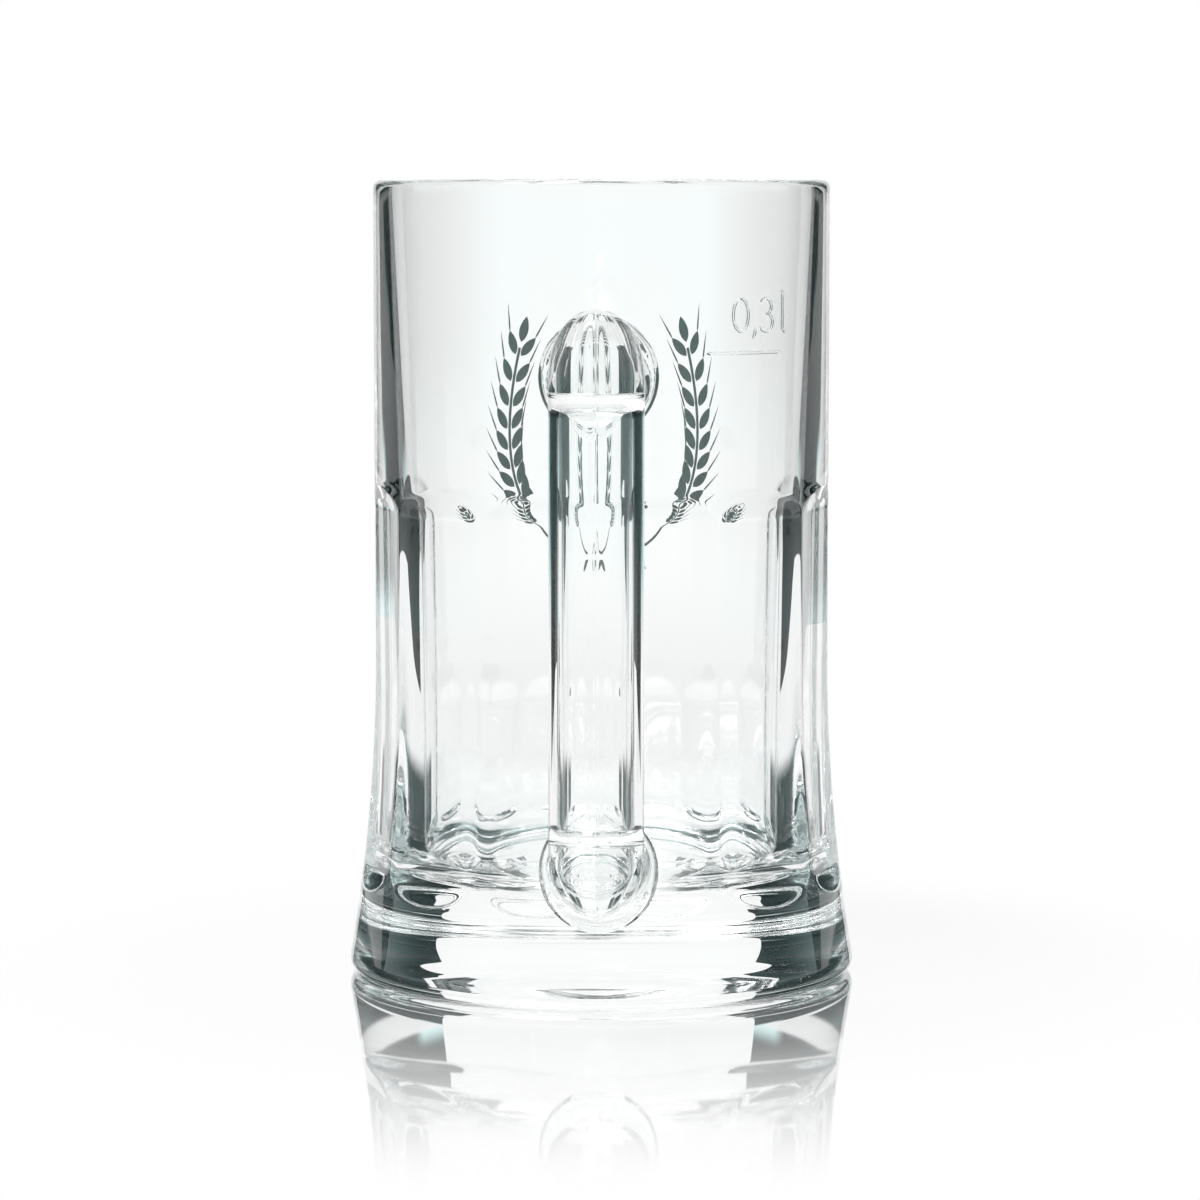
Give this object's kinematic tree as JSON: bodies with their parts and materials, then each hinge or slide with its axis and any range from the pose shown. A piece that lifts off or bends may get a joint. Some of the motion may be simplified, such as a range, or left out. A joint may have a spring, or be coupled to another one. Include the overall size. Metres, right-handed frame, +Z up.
{
  "type": "glass mug",
  "caption": "Straight fluted mug of clear pressed glass with a flared foot, thick floor, raised filling mark and a solid welded handle, for serving beer.",
  "frame": {"origin": "on the axis of the mug, in the plane of the standing ring", "axes": "+Z up along the mug's axis, the handle towards -Y, +X to the right when the handle faces the viewer"},
  "size_m": [0.0842, 0.1166, 0.1315],
  "materials": {
    "clear_glass": "fire-polished clear pressed glass with a faint cool tint",
    "handle_glass": "fire-polished clear glass with a fine mould seam",
    "relief_glass": "raised clear glass relief"
  },
  "bodies": {
    "root": {"mug_body": "clear_glass", "handle": "handle_glass", "fill_line": "relief_glass"}
  },
  "joints": []
}
